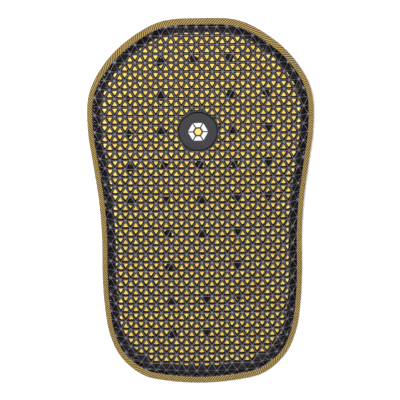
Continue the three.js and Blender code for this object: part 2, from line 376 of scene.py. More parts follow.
def frame_matrix(place, *axes):
    return Matrix.Translation(place) @ Matrix(axes).transposed().to_4x4()


def add_value(mesh, name, values):
    attribute = mesh.attributes.new(name, "FLOAT", "POINT")
    attribute.data.foreach_set("value", values.astype(np.float32))


def drop(*objects):
    for obj in objects:
        mesh = obj.data
        bpy.data.objects.remove(obj)
        bpy.data.meshes.remove(mesh)


def welded(mesh, distance):
    shape = bmesh.new()
    shape.from_mesh(mesh)
    bmesh.ops.remove_doubles(shape, verts=shape.verts, dist=distance)
    bmesh.ops.dissolve_degenerate(shape, edges=shape.edges, dist=distance)
    shape.to_mesh(mesh)
    shape.free()
    return mesh


def shade_smooth(mesh, angle):
    """Smooth shading, with sharp edges where the faces turn by more than the angle."""
    mesh.shade_smooth()
    mesh.set_sharp_from_angle(angle=math.radians(angle))


def bent(mesh, thickness, floor_at, top_at):
    """Bends a flat blank onto the pad; returns depth and share of thickness of each point."""
    flat = mesh_points(mesh) / MM
    across, down = flat[:, 0], -flat[:, 1]
    share = flat[:, 2] / thickness
    depth = depth_inside(across, down)
    low = floor_at(depth)
    height = low + (top_at(depth) - low) * share
    set_points(mesh, placed(across, down, height))
    return depth, share


def ring_blank(name, insets, inward, thickness):
    """A flat closed plate with the pad's outline: rings of spokes that close on a centre line."""
    rings = [inset_place(round_arc(PLATE_SPOKES), inset) for inset in insets]
    shoulder = rings[-1]
    core_down = np.clip(shoulder[:, 1], CENTRE_LINE[0] * LENGTH, CENTRE_LINE[1] * LENGTH)
    core = np.stack([np.zeros(PLATE_SPOKES), core_down], -1)
    rings += [shoulder + (core - shoulder) * share for share in inward]
    flat = np.concatenate(rings) * (1, -1)
    count = len(flat)
    faces = []
    for i in range(PLATE_SPOKES):
        near = (i + 1) % PLATE_SPOKES
        faces.append((i + count, near + count, near, i))
        for ring in range(len(rings) - 1):
            a = ring * PLATE_SPOKES + i
            b = ring * PLATE_SPOKES + near
            c, d = b + PLATE_SPOKES, a + PLATE_SPOKES
            faces.append((a, b, c, d))
            faces.append((d + count, c + count, b + count, a + count))
    return welded(mesh_from(name, layered(flat, 0, thickness) * MM, faces), WELD * MM)


def band(start, count):
    """Faces between a closed ring of points and the next one."""
    following = [(k + 1) % count for k in range(count)]
    return [(start + k, start + n, start + n + count, start + k + count) for k, n in enumerate(following)]


def layered(flat, *heights):
    """The flat points at each height in turn."""
    return np.concatenate([np.column_stack([flat, np.full(len(flat), height)]) for height in heights])


def prism(name, polygon, low, high):
    """A closed upright prism over a counter-clockwise polygon, in flat-blank millimetres."""
    count = len(polygon)
    faces = band(0, count)
    faces.append(tuple(range(count))[::-1])
    faces.append(tuple(range(count, 2 * count)))
    return mesh_from(name, layered(polygon, low, high) * MM, faces)


def circle(radius, sides, centre=(0, 0)):
    angle = 2 * np.pi * np.arange(sides) / sides
    return np.column_stack([centre[0] + radius * np.cos(angle), centre[1] + radius * np.sin(angle)])


# Geometry Nodes helpers

def new_group(tree_kind, name, inputs, outputs):
    """A node group with its own inputs and outputs, and the nodes that stand for them."""
    tree = bpy.data.node_groups.new(name, tree_kind)
    for way, sockets in (("INPUT", inputs), ("OUTPUT", outputs)):
        for label, kind in sockets:
            tree.interface.new_socket(label, in_out=way, socket_type="NodeSocket" + kind)
    return tree, tree.nodes.new("NodeGroupInput"), tree.nodes.new("NodeGroupOutput")


def new_tree(name, inputs):
    shape = [("Geometry", "Geometry")]
    return new_group("GeometryNodeTree", name, shape + inputs, shape)


def feed(tree, socket, value):
    """Links a socket to another node's, or sets a number or a colour on it."""
    if isinstance(value, bpy.types.NodeSocket):
        tree.links.new(value, socket)
    elif socket.type == "RGBA":
        socket.default_value = (*value, 1)
    else:
        socket.default_value = value


def add_node(tree, kind, settings=None, **inputs):
    """A node with its settings, and its inputs by name, given as values or as sockets to link."""
    node = tree.nodes.new(kind)
    for key, value in (settings or {}).items():
        setattr(node, key, value)
    for key, value in inputs.items():
        feed(tree, find_socket(node, key), value)
    return node


def named(tree, name, kind="FLOAT"):
    return add_node(tree, "GeometryNodeInputNamedAttribute", {"data_type": kind}, Name=name).outputs[0]


def math_node(tree, operation, *values):
    node = add_node(tree, "ShaderNodeMath", {"operation": operation})
    for socket, value in zip(node.inputs, values):
        feed(tree, socket, value)
    return node.outputs[0]


def boolean(tree, operation, *shapes):
    """A mesh boolean of the shapes; a difference cuts the later ones from the first."""
    node = add_node(tree, "GeometryNodeMeshBoolean", {"operation": operation, "solver": "MANIFOLD"})
    for index, shape in enumerate(shapes):
        kept = operation == "DIFFERENCE" and index == 0
        tree.links.new(shape, node.inputs["Mesh 1" if kept else "Mesh 2"])
    return node.outputs[0]


def object_shape(tree, given, label):
    return add_node(tree, "GeometryNodeObjectInfo", Object=given.outputs[label]).outputs["Geometry"]


def put_out(tree, made, shape, material):
    """Ends a tree: the shape gets its material and is put out as a plain mesh."""
    plain = add_node(tree, "GeometryNodeRealizeInstances", Geometry=shape)
    painted = add_node(tree, "GeometryNodeSetMaterial", Geometry=plain.outputs[0], Material=material)
    tree.links.new(painted.outputs[0], made.inputs[0])


def find_socket(node, key):
    """A node's input by its name, with low lines for spaces, or by its number after a low line."""
    label = key.replace("_", " ")
    matches = [s for s in node.inputs if s.name == label and s.enabled]
    return matches[0] if matches else node.inputs[int(key[1:])]


def grown(name, obj, tree, values):
    """The plain mesh that a Geometry Nodes tree makes from an object."""
    modifier = obj.modifiers.new(tree.name, "NODES")
    modifier.node_group = tree
    for item in tree.interface.items_tree:
        if item.in_out == "INPUT" and item.name in values:
            modifier[item.identifier] = values[item.name]
    bpy.context.view_layer.update()
    evaluated = obj.evaluated_get(bpy.context.evaluated_depsgraph_get())
    mesh = bpy.data.meshes.new_from_object(evaluated)
    mesh.name = name
    obj.modifiers.remove(modifier)
    return mesh


# The net: a lattice of triangular pockets with a blind floor along the border

INRADIUS = NET_PITCH / (2 * math.sqrt(3))
CREST_END = 1.94
CREST_HEIGHTS = (5, 4.94, 4.86)
RING_POINTS = 12


def pocket_ring(inset, rounding, heights):
    """Twelve points of a rounded triangle: for each corner its start, tip and end, then mid-side."""
    radius = INRADIUS - inset
    points = []
    for corner in range(3):
        facing = math.pi / 2 + corner * 2 * math.pi / 3
        centre = 2 * (radius - rounding) * np.array([math.cos(facing), math.sin(facing)])
        for turn, height in zip((-1, 0, 1), (heights[1], heights[0], heights[1])):
            angle = facing + turn * math.pi / 3
            x, y = centre + rounding * np.array([math.cos(angle), math.sin(angle)])
            points.append((x, y, height))
        angle = facing + math.pi / 3
        points.append((radius * math.cos(angle), radius * math.sin(angle), heights[2]))
    return np.array(points)


def rib_ring(heights):
    """The twelve points on the rib centre lines, shared with the neighbouring pockets."""
    points = []
    for corner in range(3):
        facing = math.pi / 2 + corner * 2 * math.pi / 3
        hub = 2 * INRADIUS * np.array([math.cos(facing), math.sin(facing)])
        for turn, height in zip((-1, 0, 1), (heights[1], heights[0], heights[1])):
            back = facing + math.pi - turn * math.pi / 6
            x, y = hub + abs(turn) * CREST_END * np.array([math.cos(back), math.sin(back)])
            points.append((x, y, height))
        angle = facing + math.pi / 3
        points.append((INRADIUS * math.cos(angle), INRADIUS * math.sin(angle), heights[2]))
    return np.array(points)


def pocket_mesh(name, rings, blind):
    """A pocket from its rings, open through its floor or blind."""
    points = [rib_ring(CREST_HEIGHTS)]
    points += [pocket_ring(*ring) for ring in rings]
    under = rib_ring((0, 0, 0))
    faces = []
    for ring in range(len(points) - 1):
        faces += band(ring * RING_POINTS, RING_POINTS)
    last = (len(points) - 1) * RING_POINTS
    points.append(under)
    if not blind:
        faces += band(last, RING_POINTS)
    else:
        points.append([(0, 0, rings[-1][2][0]), (0, 0, 0)])
        middle = last + 2 * RING_POINTS
        for a, b, c, d in band(last, RING_POINTS):
            faces.append((a, b, middle))
            faces.append((c, d, middle + 1))
    return mesh_from(name, np.concatenate(points) * MM, faces)


# Rings of a pocket: inset from the rib line, corner rounding, heights at tip, shoulder and mid-side
OPEN_RINGS = [
    (0.32, 0.4, (4.97, 4.9, 4.8)),
    (0.62, 0.45, (4.4, 4.32, 4.2)),
    (1.85, 0.35, (0, 0, 0)),
]
BLIND_RINGS = [
    (0.32, 0.4, (4.97, 4.9, 4.8)),
    (0.62, 0.45, (4.4, 4.32, 4.2)),
    (1.75, 0.7, (1.9, 1.9, 1.9)),
    (2.3, 0.6, (1.25, 1.25, 1.25)),
]


def lattice_cells():
    """Pocket centres over the pad, with the turn of each and whether it is blind."""
    rows = math.ceil(LENGTH / ROW_HEIGHT)
    columns = math.ceil(CHEST_WIDTH / NET_PITCH)
    row, column = np.meshgrid(np.arange(-rows, rows), np.arange(-columns, columns), indexing="ij")
    row, column = row.ravel(), column.ravel()
    side = (column + np.where(row % 2 == 0, 0, 0.5)) * NET_PITCH
    top = row * ROW_HEIGHT
    hanging = np.stack([side + NET_PITCH / 2, top + ROW_HEIGHT / 3], -1)
    standing = np.stack([side, top + ROW_HEIGHT * 2 / 3], -1)
    flat = np.concatenate([hanging, standing])
    turned = np.stack([
        flat[:, 0] * math.cos(NET_TURN) - flat[:, 1] * math.sin(NET_TURN),
        flat[:, 0] * math.sin(NET_TURN) + flat[:, 1] * math.cos(NET_TURN),
    ], -1) + NET_HUB
    upside = np.concatenate([np.full(len(hanging), math.pi), np.zeros(len(standing))])
    depth = depth_inside(turned[:, 0], turned[:, 1])
    inside = depth > NET_CUT_INSET - 2 * INRADIUS
    blind = depth + 2 * INRADIUS < blind_floor_inset(turned[:, 1])
    cells = layered(turned * (1, -1), 0)
    return cells[inside], (upside - NET_TURN)[inside], blind[inside]


def hub_distance(across, down):
    """How far places lie from the nearest hub of the lattice."""
    x, y = across - NET_HUB[0], down - NET_HUB[1]
    side = x * math.cos(NET_TURN) + y * math.sin(NET_TURN)
    row = y * math.cos(NET_TURN) - x * math.sin(NET_TURN)
    nearest = np.full(len(side), np.inf)
    for odd in (0, 1):
        hub_row = (np.round((row / ROW_HEIGHT - odd) / 2) * 2 + odd) * ROW_HEIGHT
        hub_side = (np.round(side / NET_PITCH - odd / 2) + odd / 2) * NET_PITCH
        nearest = np.minimum(nearest, np.hypot(side - hub_side, row - hub_row))
    return nearest


def blind_floor_inset(down):
    """How far in from the edge the blind floor reaches: farther at the ends than at the sides."""
    share = np.asarray(down, float) / LENGTH
    top = TOP_FLOOR_EXTRA * smooth(1 - share, *TOP_FLOOR_SPAN)
    foot = FOOT_FLOOR_EXTRA * smooth(share, *FOOT_FLOOR_SPAN)
    return BLIND_FLOOR_INSET + top + foot


def net_tree():
    tree, given, made = new_tree("pocket_net", [
        ("Open Pocket", "Object"), ("Blind Pocket", "Object"), ("Outline Blank", "Object"),
        ("Border Floor", "Object"), ("Badge Collar", "Object"), ("Badge Seat", "Object"),
        ("Weld", "Float"), ("Middle Height", "Float"), ("Rubber", "Material"),
    ])

    def shape_of(label):
        return object_shape(tree, given, label)

    blind = named(tree, "blind", "BOOLEAN")
    unblind = add_node(tree, "FunctionNodeBooleanMath", {"operation": "NOT"}, _0=blind).outputs[0]
    rotation = add_node(tree, "FunctionNodeAxisAngleToRotation", Angle=named(tree, "turn"))
    join = tree.nodes.new("GeometryNodeJoinGeometry")
    for label, chosen in (("Open Pocket", unblind), ("Blind Pocket", blind)):
        put = add_node(
            tree, "GeometryNodeInstanceOnPoints", Points=given.outputs["Geometry"],
            Selection=chosen, Instance=shape_of(label), Rotation=rotation.outputs[0])
        tree.links.new(put.outputs[0], join.inputs[0])
    pockets = add_node(tree, "GeometryNodeRealizeInstances", Geometry=join.outputs[0])
    weld = add_node(
        tree, "GeometryNodeMergeByDistance", Geometry=pockets.outputs[0], Distance=given.outputs["Weld"])
    # The open sides of the lattice are closed down to its underside
    edges = tree.nodes.new("GeometryNodeInputMeshEdgeNeighbors")
    open_edge = add_node(
        tree, "FunctionNodeCompare", {"data_type": "INT", "operation": "EQUAL"},
        _2=edges.outputs[0], _3=1)
    place = tree.nodes.new("GeometryNodeInputPosition")
    split = add_node(tree, "ShaderNodeSeparateXYZ", Vector=place.outputs[0])
    high = add_node(
        tree, "FunctionNodeCompare", {"data_type": "FLOAT", "operation": "GREATER_THAN"},
        _0=split.outputs[2], _1=given.outputs["Middle Height"])
    upper = add_node(
        tree, "FunctionNodeBooleanMath", {"operation": "AND"},
        _0=open_edge.outputs[0], _1=high.outputs[0])
    walls = add_node(
        tree, "GeometryNodeExtrudeMesh", {"mode": "EDGES"}, Mesh=weld.outputs[0],
        Selection=upper.outputs[0], Offset_Scale=0.0)
    foot = add_node(tree, "ShaderNodeCombineXYZ", X=split.outputs[0], Y=split.outputs[1])
    lowered = add_node(
        tree, "GeometryNodeSetPosition", Geometry=walls.outputs["Mesh"],
        Selection=walls.outputs["Top"], Position=foot.outputs[0])
    closed = add_node(
        tree, "GeometryNodeMergeByDistance", Geometry=lowered.outputs[0], Distance=given.outputs["Weld"])
    # Border floor and collar are joined on, then the outline and the badge's seat are cut
    fused = boolean(tree, "UNION", closed.outputs[0], shape_of("Border Floor"), shape_of("Badge Collar"))
    trimmed = boolean(tree, "INTERSECT", fused, shape_of("Outline Blank"))
    seated = boolean(tree, "DIFFERENCE", trimmed, shape_of("Badge Seat"))
    put_out(tree, made, seated, given.outputs["Rubber"])
    return tree


def outline_polygon(inset, count):
    """The outline moved inward by a distance, or by one for each point, counter-clockwise."""
    return (inset_place(round_arc(count), inset) * (1, -1))[::-1]


def floor_polygon(count):
    place, _ = outline_at(round_arc(count))
    return outline_polygon(blind_floor_inset(place[:, 1]), count)


def ring_prism(name, outer, inner, low, high):
    """A closed upright ring between two loops of as many points, counter-clockwise."""
    count = len(outer)
    faces = []
    for i in range(count):
        j = (i + 1) % count
        faces.append((i, j, j + 2 * count, i + 2 * count))
        faces.append((j + count, i + count, i + 3 * count, j + 3 * count))
        faces.append((i + 2 * count, j + 2 * count, j + 3 * count, i + 3 * count))
        faces.append((j, i, i + count, j + count))
    return mesh_from(name, layered(np.concatenate([outer, inner]), low, high) * MM, faces)


def make_net(material):
    cells, turn, blind = lattice_cells()
    points = mesh_from("cell_centres", cells * MM, [])
    add_value(points, "turn", turn)
    points.attributes.new("blind", "BOOLEAN", "POINT").data.foreach_set("value", blind)
    reach = 2 * NET_THICKNESS
    centre = (BADGE_PLACE[0], -BADGE_PLACE[1])
    seat = BADGE_DIAMETER / 2 + BADGE_SEAT_GAP
    helpers = {
        "Open Pocket": pocket_mesh("open_pocket", OPEN_RINGS, False),
        "Blind Pocket": pocket_mesh("blind_pocket", BLIND_RINGS, True),
        "Outline Blank": prism("outline_blank", outline_polygon(NET_CUT_INSET, CUT_SIDES), -reach, reach),
        "Border Floor": ring_prism(
            "border_floor", outline_polygon(NET_CUT_INSET - FLOOR_OVERHANG, CUT_SIDES),
            floor_polygon(CUT_SIDES), 0, BLIND_FLOOR_HEIGHT),
        "Badge Collar": ring_prism(
            "badge_collar", circle(seat + COLLAR_WIDTH, SEAT_SIDES, centre),
            circle(seat - COLLAR_WIDTH, SEAT_SIDES, centre), 0, NET_THICKNESS - COLLAR_DROP),
        "Badge Seat": prism("badge_seat", circle(seat, SEAT_SIDES, centre), -reach, reach),
    }
    helpers = {label: new_object(mesh.name, mesh) for label, mesh in helpers.items()}
    start = new_object("cell_centres", points)
    values = {
        **helpers, "Weld": POCKET_WELD * MM, "Middle Height": NET_THICKNESS / 2 * MM, "Rubber": material,
    }
    mesh = grown("net", start, net_tree(), values)
    drop(start, *helpers.values())
    flat = mesh_points(mesh) / MM
    add_value(mesh, "hub", hub_distance(flat[:, 0], -flat[:, 1]))
    depth, share = bent(mesh, NET_THICKNESS, net_floor, net_top)
    add_value(mesh, "crest", share)
    add_value(mesh, "depth", depth)
    shade_smooth(mesh, angle=50)
    return new_object("rubber_net", mesh)


# The foam core, with its vent holes

def vent_places():
    places = []
    for index, holes in enumerate(VENT_CHART):
        for column, hole in enumerate(holes):
            if not hole:
                continue
            sideways = (column - (len(holes) - 1) / 2) * VENT_PITCH[0]
            downward = (index + VENT_FIRST_ROW) * VENT_PITCH[1]
            across = VENT_CENTRE[0] + sideways * math.cos(VENT_TURN) + downward * math.sin(VENT_TURN)
            down = VENT_CENTRE[1] - sideways * math.sin(VENT_TURN) + downward * math.cos(VENT_TURN)
            places.append((across, down))
    places = np.array(places)
    inside = depth_inside(places[:, 0], places[:, 1]) > SHOULDER_INSET + VENT_DIAMETER / 2
    return places[inside]


def vent_tree():
    tree, given, made = new_tree("foam_vents", [
        ("Foam Blank", "Object"), ("Vent Cutter", "Object"), ("Foam", "Material"),
    ])
    put = add_node(
        tree, "GeometryNodeInstanceOnPoints", Points=given.outputs["Geometry"],
        Instance=object_shape(tree, given, "Vent Cutter"))
    plain = add_node(tree, "GeometryNodeRealizeInstances", Geometry=put.outputs[0])
    cut = boolean(tree, "DIFFERENCE", object_shape(tree, given, "Foam Blank"), plain.outputs[0])
    put_out(tree, made, cut, given.outputs["Foam"])
    return tree


def make_foam(material):
    rim = [FOAM_INSET + RIM_WIDTH * share for share in FOAM_RIM_RINGS]
    blank = new_object("foam_blank", ring_blank("foam_blank", rim, FOAM_RINGS, FOAM_THICKNESS))
    cutter = new_object("vent_cutter", prism(
        "vent_cutter", circle(VENT_DIAMETER / 2, VENT_SIDES), -FOAM_THICKNESS, 2 * FOAM_THICKNESS))
    centres = mesh_from("vent_places", layered(vent_places() * (1, -1), 0) * MM, [])
    start = new_object("vent_places", centres)
    values = {"Foam Blank": blank, "Vent Cutter": cutter, "Foam": material}
    mesh = grown("foam", start, vent_tree(), values)
    drop(start, blank, cutter)
    depth, share = bent(mesh, FOAM_THICKNESS, level(FOAM_FLOOR), foam_top)
    add_value(mesh, "depth", depth)
    add_value(mesh, "level", share)
    shade_smooth(mesh, angle=40)
    return new_object("foam_slab", mesh)


# The backing cloth

def make_back(material):
    insets = (SHEET_INSET, SHEET_INSET + SHEET_EDGE, FOAM_INSET, SHOULDER_INSET)
    mesh = ring_blank("backing", insets, BACK_RINGS, BACK_THICKNESS)
    bent(mesh, BACK_THICKNESS, level(0), level(BACK_THICKNESS))
    mesh.materials.append(material)
    shade_smooth(mesh, angle=40)
    return new_object("backing_cloth", mesh)


# The edge tape, woven with slanting ribs that run round the fold

RIB_PITCH = 3.06
COLUMNS_PER_RIB = 8
RIB_HEIGHT = 0.3
RIB_SLANT = 0.9
RIB_ROUNDNESS = 0.7
SIDE_FACING = (0.55, 0.95)
LIP_SLOPE = 0.2
FOLD_EASE = 0.02
LIP_RELIEF = (0.2, 0.7)

# The inner face's corners, as shares of the way round the fold for their slant and their weave
INNER_SHARES = (0.97, 0.62, 0.38, 0.03)
INNER_SPANS = (1, 0.99, 0.01, 0)


def tape_mesh():
    """The folded band, its columns laid along the slanting ribs."""
    outer = tape_outer_path()
    unrolled = np.concatenate([[0], np.cumsum(np.hypot(*np.diff(outer, axis=0).T))])
    low = -LAYER_GAP
    high = FOAM_FLOOR + NET_EDGE_THICKNESS + LAYER_GAP
    inner = np.array([
        (TAPE_WIDTH - LIP_SLOPE, low), (TAPE_WALL, low + FOLD_EASE),
        (TAPE_WALL, high - FOLD_EASE), (TAPE_WIDTH - LIP_SLOPE, high),
    ])
    section = np.concatenate([outer, inner])
    slide = RIB_SLANT * np.concatenate([unrolled, unrolled[-1] * np.array(INNER_SHARES)])
    ribs = round(PERIMETER / RIB_PITCH)
    columns = ribs * COLUMNS_PER_RIB
    size = len(section)
    arcs = round_arc(columns)[:, None] + slide[None]
    place, inward = outline_at(arcs)
    # The laps reach less far in along the sides of the pad than at its ends
    narrowing = TAPE_SIDE_NARROWING * smooth(abs(inward[..., 0]), *SIDE_FACING)
    insets = section[:, 0] - narrowing * smooth(section[:, 0], TAPE_LAP[-1], TAPE_WIDTH)
    places = (place + inward * insets[..., None]).reshape(-1, 2)
    heights = np.tile(section[:, 1], columns)
    points = placed(places[:, 0], places[:, 1], heights)
    spans = np.concatenate([unrolled / unrolled[-1], INNER_SPANS])
    faces, corners = [], []
    for c in range(columns):
        here, there = c * size, (c + 1) % columns * size
        start, end = c / COLUMNS_PER_RIB, (c + 1) / COLUMNS_PER_RIB
        for k in range(size):
            n = (k + 1) % size
            faces.append((here + k, here + n, there + n, there + k))
            corners += [(start, spans[k]), (start, spans[n]), (end, spans[n]), (end, spans[k])]
    mesh = mesh_from("tape", points, faces)
    relief = np.concatenate([
        LIP_RELIEF, np.ones(len(outer) - 2 * len(LIP_RELIEF)), LIP_RELIEF[::-1], np.zeros(len(inner)),
    ])
    add_value(mesh, "relief", np.tile(relief, columns))
    add_value(mesh, "rib", np.repeat(np.arange(columns) / COLUMNS_PER_RIB, size))
    weave = mesh.uv_layers.new(name="weave")
    weave.data.foreach_set("uv", np.array(corners, np.float32).ravel())
    return mesh


def twill_tree():
    """Raises the slanting ribs of the tape along its normals."""
    tree, given, made = new_tree("tape_twill", [("Rib Height", "Float"), ("Tape", "Material")])
    turn = math_node(tree, "MULTIPLY", named(tree, "rib"), math.pi)
    arched = math_node(tree, "ABSOLUTE", math_node(tree, "SINE", turn))
    rounded = math_node(tree, "POWER", arched, RIB_ROUNDNESS)
    faded = math_node(tree, "MULTIPLY", rounded, named(tree, "relief"))
    raised = math_node(tree, "MULTIPLY", faded, given.outputs["Rib Height"])
    normal = tree.nodes.new("GeometryNodeInputNormal")
    push = add_node(
        tree, "ShaderNodeVectorMath", {"operation": "SCALE"}, Vector=normal.outputs[0], Scale=raised)
    moved = add_node(
        tree, "GeometryNodeSetPosition", Geometry=given.outputs["Geometry"], Offset=push.outputs[0])
    put_out(tree, made, moved.outputs[0], given.outputs["Tape"])
    return tree


def make_tape(material):
    start = new_object("tape_blank", tape_mesh())
    mesh = grown("tape", start, twill_tree(), {"Rib Height": RIB_HEIGHT * MM, "Tape": material})
    drop(start)
    shade_smooth(mesh, angle=60)
    return new_object("binding_tape", mesh)


# The badge: a flat disc with a bevelled rim and a plain hexagon of six white panes round a yellow one

# Bevel and dished face: distance in from the rim, and down from the highest ring
BADGE_FACE = [
    (0, 1.5), (0.1, 1.2), (1.2, 0.14), (1.4, 0.05), (1.8, 0), (7.2, 0.03), (15, 0.06), (23, 0.06),
]
PANE_REACH = (5.6, 10.4)
PANE_GAP = 1.5
CENTRE_REACH = 3.6
PANES = 6
PRINT_HEIGHT = 0.12
PRINT_EDGE = 0.15
PRINT_ROOT = 0.1


def badge_axes():
    """Seat point, and the axes of the badge across, up the pad and outward."""
    seat_height = net_floor(np.array([CHEST_WIDTH / 2]))
    across, down = (np.array([value]) for value in BADGE_PLACE)
    seat = placed(across, down, seat_height)[0]
    top = placed(across, down, seat_height + NET_THICKNESS)[0]
    side = placed(across + 1, down, seat_height)[0]
    outward = Vector(top - seat).normalized()
    up = outward.cross(Vector(side - seat)).normalized()
    return Vector(seat), up.cross(outward), up, outward


def badge_profile():
    """Radius and height of the disc from the middle of its underside to the middle of its face."""
    radius = BADGE_DIAMETER / 2
    height = NET_THICKNESS + BADGE_PROUD
    foot = [(0, 0), (radius - BADGE_FOOT, 0), (radius, BADGE_FOOT)]
    return np.array(foot + [(radius - inset, height - drop) for inset, drop in BADGE_FACE])


def make_badge(material):
    rings = [layered(circle(radius, BADGE_SIDES), height) for radius, height in badge_profile()]
    faces = []
    for ring in range(len(rings) - 1):
        faces += band(ring * BADGE_SIDES, BADGE_SIDES)
    mesh = welded(mesh_from("badge", np.concatenate(rings) * MM, faces), WELD * MM)
    flat = mesh_points(mesh) / MM
    add_value(mesh, "face", BADGE_DIAMETER / 2 - np.hypot(flat[:, 0], flat[:, 1]))
    mesh.transform(frame_matrix(*badge_axes()))
    mesh.materials.append(material)
    shade_smooth(mesh, angle=25)
    return new_object("badge_disc", mesh)


def motif_panes():
    """The polygons of the print: six panes of a hexagon, then the small hexagon in their middle."""
    slope = math.tan(math.pi / 6)
    gap = PANE_GAP / 2 / math.cos(math.pi / 6)
    panes = []
    for index in range(PANES):
        facing = math.pi / 6 + index * math.pi / 3
        out = np.array([math.cos(facing), math.sin(facing)])
        aside = np.array([-math.sin(facing), math.cos(facing)])
        near, far = PANE_REACH
        near_half, far_half = near * slope - gap, far * slope - gap
        panes.append(np.array([
            out * near - aside * near_half, out * far - aside * far_half,
            out * far + aside * far_half, out * near + aside * near_half,
        ]))
    panes.append(circle(CENTRE_REACH / math.cos(math.pi / 6), PANES))
    return panes


def make_motif(material):
    """A print raised a little over the badge's face."""
    face = NET_THICKNESS + BADGE_PROUD
    heights = (face - PRINT_ROOT, face + PRINT_HEIGHT / 2, face + PRINT_HEIGHT)
    points, faces, tones = [], [], []
    for index, pane in enumerate(motif_panes()):
        base, sides = len(points), len(pane)
        middle = pane.mean(0)
        shrunk = middle + (pane - middle) * (1 - PRINT_EDGE / np.hypot(*(pane - middle).T).min())
        for loop, z in zip((pane, pane, shrunk), heights):
            points += [(x, y, z) for x, y in loop]
        for layer in (0, sides):
            faces += band(base + layer, sides)
        faces.append(tuple(base + k for k in range(sides))[::-1])
        faces.append(tuple(base + 2 * sides + k for k in range(sides)))
        tones += [index == PANES] * sides * 3
    mesh = mesh_from("badge_motif", np.array(points) * MM, faces)
    add_value(mesh, "yellow", np.array(tones, float))
    mesh.transform(frame_matrix(*badge_axes()))
    mesh.materials.append(material)
    return new_object("badge_motif", mesh)


# Materials. Where a tone is a pair, a mask over the surface mixes the two.

RUBBER_BLACK = (0.006, 0.005, 0.007)
# Painted highlights: greys of the crests and of the hubs, the first of each pair along the border
CREST_HIGHLIGHT_GREYS = ((0.05, 0.047, 0.057), (0.078, 0.074, 0.09))
HUB_HIGHLIGHT_GREYS = ((0.17, 0.16, 0.19), (0.135, 0.125, 0.16))
FOAM_YELLOWS = ((0.88, 0.56, 0.10), (0.94, 0.73, 0.17))
FOAM_RIM_BUFF = (0.86, 0.66, 0.36)
FOAM_PORES = (0.66, 0.40, 0.06)
VENT_SHADE = (0.012, 0.007, 0.003)
BADGE_SEAT_SHADE = (0.006, 0.005, 0.005)
CLOTH_BLACKS = ((0.004, 0.004, 0.005), (0.024, 0.024, 0.028))
TAPE_GOLDS = ((0.38, 0.245, 0.036), (0.53, 0.355, 0.068))
TAPE_FLECKS = (0.28, 0.165, 0.022)
TAPE_GAPS = (0.014, 0.007, 0.001)
SELVEDGE_BUFF = (0.4, 0.31, 0.16)
BADGE_GREYS = ((0.016, 0.0145, 0.019), (0.027, 0.0245, 0.032))
BEVEL_SHADE = (0.003, 0.003, 0.004)
PRINT_WHITES = ((0.5, 0.5, 0.52), (0.66, 0.66, 0.68))
PRINT_YELLOW = (0.62, 0.46, 0.08)
PRINT_FLECKS = (0.3, 0.29, 0.28)
FLOOR_WHITES = ((0.93, 0.93, 0.93), (0.95, 0.95, 0.95))


def new_material(name):
    material = bpy.data.materials.new(name)
    material.use_nodes = True
    tree = material.node_tree
    return material, tree, tree.nodes["Principled BSDF"]


def look(tree, shader, **inputs):
    """Feeds the shader's inputs, by name."""
    for key, value in inputs.items():
        feed(tree, shader.inputs[key.replace("_", " ")], value)


def mixed(tree, share, first, second):
    """A colour between two, which are given as values or sockets."""
    node = add_node(tree, "ShaderNodeMix", {"data_type": "RGBA"}, _0=share, _6=first, _7=second)
    return node.outputs[2]


def mixed_value(tree, share, first, second):
    """A number between two, which are given as values or sockets."""
    node = add_node(tree, "ShaderNodeMix", {"data_type": "FLOAT"}, _0=share, _2=first, _3=second)
    return node.outputs[0]


def ranged(tree, value, low, high, to_low=0.0, to_high=1.0):
    node = add_node(tree, "ShaderNodeMapRange", {"interpolation_type": "SMOOTHSTEP"}, Value=value)
    for socket, number in zip(list(node.inputs)[1:5], (low, high, to_low, to_high)):
        socket.default_value = number
    return node.outputs[0]


def attribute(tree, name):
    return add_node(tree, "ShaderNodeAttribute", {"attribute_name": name}).outputs["Fac"]


def grain_group():
    """Fine mottling and pits of a moulded or foamed surface."""
    tree, given, made = new_group(
        "ShaderNodeTree", "grain", [("Vector", "Vector"), ("Scale", "Float"), ("Patch", "Float")],
        [("Fine", "Float"), ("Broad", "Float")])
    for label, scale, detail, roughness in (("Fine", "Scale", 4.0, 0.6), ("Broad", "Patch", 2.0, 0.5)):
        noise = add_node(
            tree, "ShaderNodeTexNoise", Vector=given.outputs["Vector"], Scale=given.outputs[scale],
            Detail=detail, Roughness=roughness)
        tree.links.new(noise.outputs[0], made.inputs[label])
    return tree


def grain(tree, group, scale, patch):
    where = tree.nodes.new("ShaderNodeTexCoord").outputs["Object"]
    node = add_node(tree, "ShaderNodeGroup", {"node_tree": group}, Vector=where, Scale=scale, Patch=patch)
    return node.outputs["Fine"], node.outputs["Broad"]


def bump(tree, height, distance, strength):
    node = add_node(tree, "ShaderNodeBump", Height=height, Distance=distance, Strength=strength)
    return node.outputs[0]


def rubber_material(group):
    """Black moulded rubber with painted highlights: crests painted paler, hubs most of all, border hubs
    brightest as painted glints; glossy along the border.
    """
    material, tree, shader = new_material("net_rubber")
    fine, broad = grain(tree, group, 900.0, 45.0)
    crest = ranged(tree, attribute(tree, "crest"), 0.9, 0.96)
    field = ranged(tree, attribute(tree, "depth"), 12.0, 19.0)
    # Painted highlight on the crests, patchy over broad mottling; along the border the crests are painted
    # darker and the hubs brighter, as painted glints
    crest_highlight = math_node(tree, "MULTIPLY", crest, ranged(tree, broad, 0.25, 0.7, 0.75, 1.0))
    hub = ranged(tree, attribute(tree, "hub"), 0.5, 2.3, 1.0, 0.0)
    highlight_colour = mixed(tree, hub, mixed(tree, field, *CREST_HIGHLIGHT_GREYS), mixed(tree, field, *HUB_HIGHLIGHT_GREYS))
    colour = mixed(tree, crest_highlight, RUBBER_BLACK, highlight_colour)
    rough = mixed_value(tree, field, 0.22, ranged(tree, fine, 0.3, 0.7, 0.5, 0.64))
    look(tree, shader, Base_Color=colour, Roughness=rough, Specular_IOR_Level=0.4,
         Normal=bump(tree, fine, 0.0002, 0.35))
    return material


